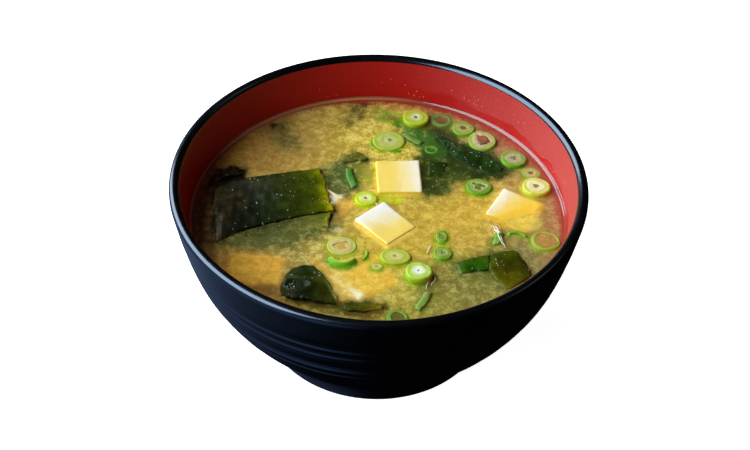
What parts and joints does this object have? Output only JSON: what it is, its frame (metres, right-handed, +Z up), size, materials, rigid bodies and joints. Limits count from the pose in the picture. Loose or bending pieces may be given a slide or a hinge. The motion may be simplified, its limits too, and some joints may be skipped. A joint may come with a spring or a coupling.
{
  "type": "miso soup in a bowl",
  "caption": "Miso soup in a round lacquer bowl on a foot ring, with bean curd dice, wakame leaves and spring onion slices floating in cloudy broth.",
  "frame": {"origin": "middle of the foot ring's underside, on the surface the bowl stands on", "axes": "+Z up through the bowl's axis, +X to the right and +Y away from the diner, who sees the large seaweed leaf on the left"},
  "size_m": [0.115, 0.115, 0.0558],
  "materials": {
    "lacquer": "black lacquer outside and over the lip, turned grooves, red lacquer inside, glossy",
    "broth": "cloudy yellow miso broth with fine flecks, wet",
    "curd": "smooth white bean curd, tinted yellow where the broth covers it",
    "seaweed": "dark green to olive, thin, wet and wrinkled",
    "onion_pale": "pale yellow-green cut face with fine rings, green skin",
    "onion_green": "bright green skin, pale inner edge, wet"
  },
  "bodies": {
    "root": {"bowl": "lacquer", "tofu_back": "curd", "tofu_middle": "curd", "tofu_right": "curd", "tofu_wedge": "curd", "tofu_front": "curd", "scallion_back_1": "onion_pale", "scallion_back_2": "onion_pale", "scallion_back_4": "onion_pale", "scallion_back_5": "onion_pale", "scallion_back_6": "onion_pale", "scallion_side_2": "onion_pale", "scallion_side_3": "onion_pale", "scallion_middle_1": "onion_pale", "scallion_front_1": "onion_pale", "scallion_front_2": "onion_pale", "scallion_front_4": "onion_pale", "scallion_back_3": "onion_green", "scallion_back_7": "onion_green", "scallion_side_1": "onion_green", "scallion_side_4": "onion_green", "scallion_right": "onion_green", "scallion_middle_2": "onion_green", "scallion_front_3": "onion_green", "scallion_front_5": "onion_green", "scallion_loop_1": "onion_green", "scallion_loop_2": "onion_green", "scallion_crescent": "onion_green", "scallion_arc_front": "onion_green", "scallion_arc_right": "onion_green", "scallion_strip_back": "onion_green", "scallion_strip_middle": "onion_green", "scallion_strip_front": "onion_green", "scallion_strip_right": "onion_green", "wakame_left": "seaweed", "wakame_left_fold": "seaweed", "wakame_left_end": "seaweed", "wakame_middle": "seaweed", "wakame_back": "seaweed", "wakame_back_branch": "seaweed", "wakame_right": "seaweed", "wakame_right_tip": "seaweed", "wakame_front": "seaweed", "wakame_front_band": "seaweed", "soup": "broth"}
  },
  "joints": []
}
